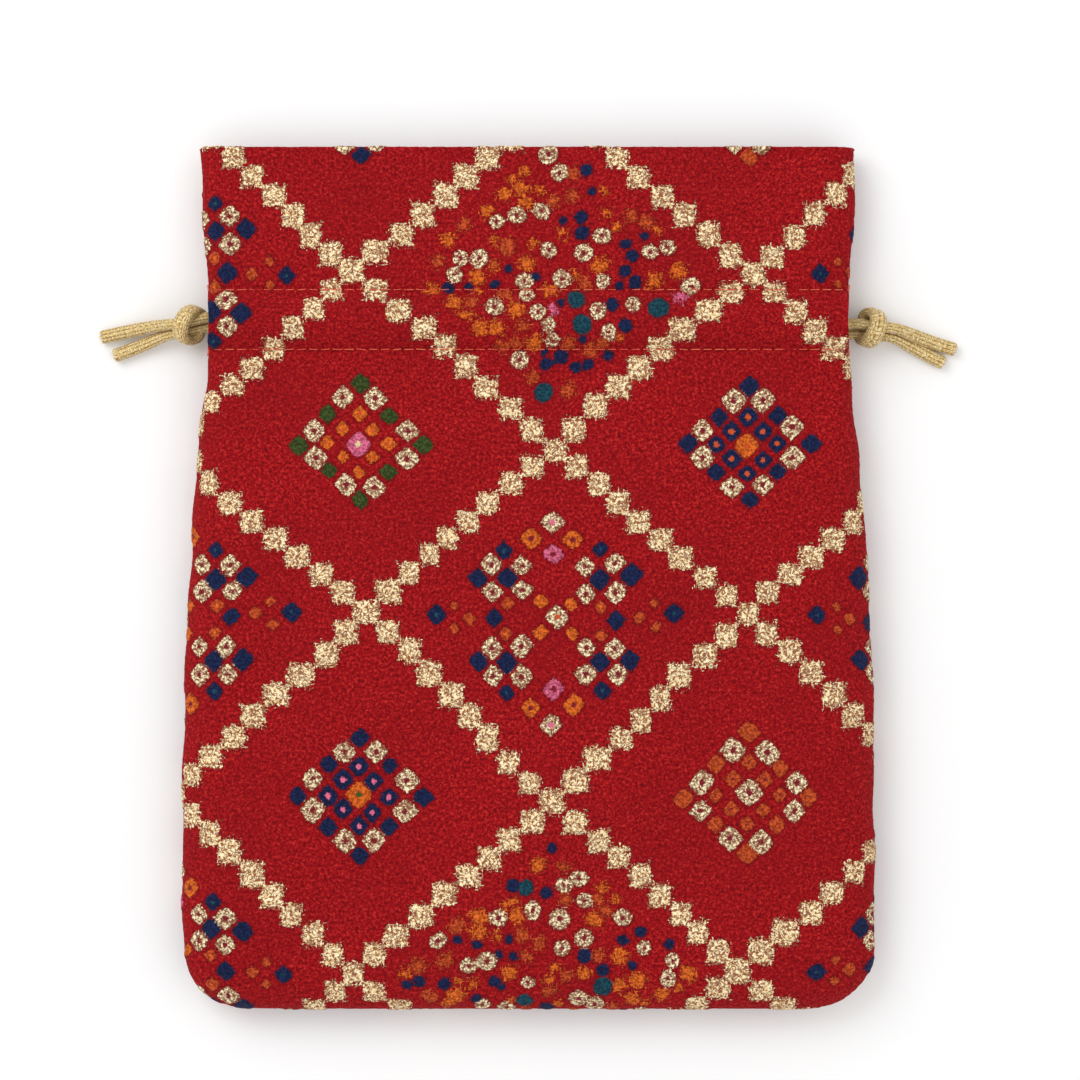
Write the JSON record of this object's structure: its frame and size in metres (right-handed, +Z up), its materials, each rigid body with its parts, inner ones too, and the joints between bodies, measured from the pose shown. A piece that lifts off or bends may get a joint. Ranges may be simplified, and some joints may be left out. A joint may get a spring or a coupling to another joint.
{
  "type": "drawstring gift pouch",
  "caption": "Cloth gift pouch lying flat, with a hemmed mouth, a stitched drawcord channel and knotted cords pulled from opposite sides.",
  "frame": {"origin": "under the middle of the cloth, on the surface that the pouch lies on", "axes": "+X across the pouch, +Y from the bottom seam to the mouth, +Z up out of the front panel"},
  "size_m": [0.2316, 0.232, 0.0179],
  "materials": {
    "patterned_cloth": "deep red plush cloth with embroidered gold, navy and orange motifs",
    "plain_cloth": "the same red cloth, reverse side",
    "thread": "fine red sewing thread",
    "cord": "pale metallic gold knitted cord"
  },
  "bodies": {
    "pouch": {"front_panel": "patterned_cloth", "back_panel": "patterned_cloth", "front_hem": "plain_cloth", "back_hem": "plain_cloth", "left_seam_allowance": "plain_cloth", "right_seam_allowance": "plain_cloth", "bottom_seam_allowance": "plain_cloth", "left_seam_stitching": "thread", "right_seam_stitching": "thread", "bottom_seam_stitching": "thread", "front_upper_channel_stitching": "thread", "front_lower_channel_stitching": "thread", "back_upper_channel_stitching": "thread", "back_lower_channel_stitching": "thread"},
    "left_edge": {"left_header_allowance": "plain_cloth", "left_header_stitching": "thread", "left_bar_tacks": "thread"},
    "right_edge": {"right_header_allowance": "plain_cloth", "right_header_stitching": "thread", "right_bar_tacks": "thread"},
    "left_cord": {"left_drawcord": "cord", "left_knot": "cord", "left_upper_tail": "cord", "left_lower_tail": "cord"},
    "right_cord": {"right_drawcord": "cord", "right_knot": "cord", "right_upper_tail": "cord", "right_lower_tail": "cord"}
  },
  "joints": [
    {"name": "left_cord_pull", "type": "slide", "parent": "pouch", "child": "left_cord", "axis": [-1, 0, 0], "range_m": [0, 0.05], "deforming": ["front_panel", "back_panel", "front_hem", "back_hem", "front_upper_channel_stitching", "front_lower_channel_stitching", "back_upper_channel_stitching", "back_lower_channel_stitching"]},
    {"name": "right_edge_gather", "type": "slide", "parent": "pouch", "child": "right_edge", "axis": [-1, 0, 0], "range_m": [0, 0.05], "deforming": ["front_panel", "back_panel", "front_hem", "back_hem", "front_upper_channel_stitching", "front_lower_channel_stitching", "back_upper_channel_stitching", "back_lower_channel_stitching"]},
    {"name": "right_cord_pull", "type": "slide", "parent": "pouch", "child": "right_cord", "axis": [1, 0, 0], "range_m": [0, 0.05], "deforming": ["front_panel", "back_panel", "front_hem", "back_hem", "front_upper_channel_stitching", "front_lower_channel_stitching", "back_upper_channel_stitching", "back_lower_channel_stitching"]},
    {"name": "left_edge_gather", "type": "slide", "parent": "pouch", "child": "left_edge", "axis": [1, 0, 0], "range_m": [0, 0.05], "deforming": ["front_panel", "back_panel", "front_hem", "back_hem", "front_upper_channel_stitching", "front_lower_channel_stitching", "back_upper_channel_stitching", "back_lower_channel_stitching"]}
  ],
  "couplings": [
    {"joint": "right_edge_gather", "follows": "left_cord_pull", "ratio": 1},
    {"joint": "left_edge_gather", "follows": "right_cord_pull", "ratio": 1}
  ]
}
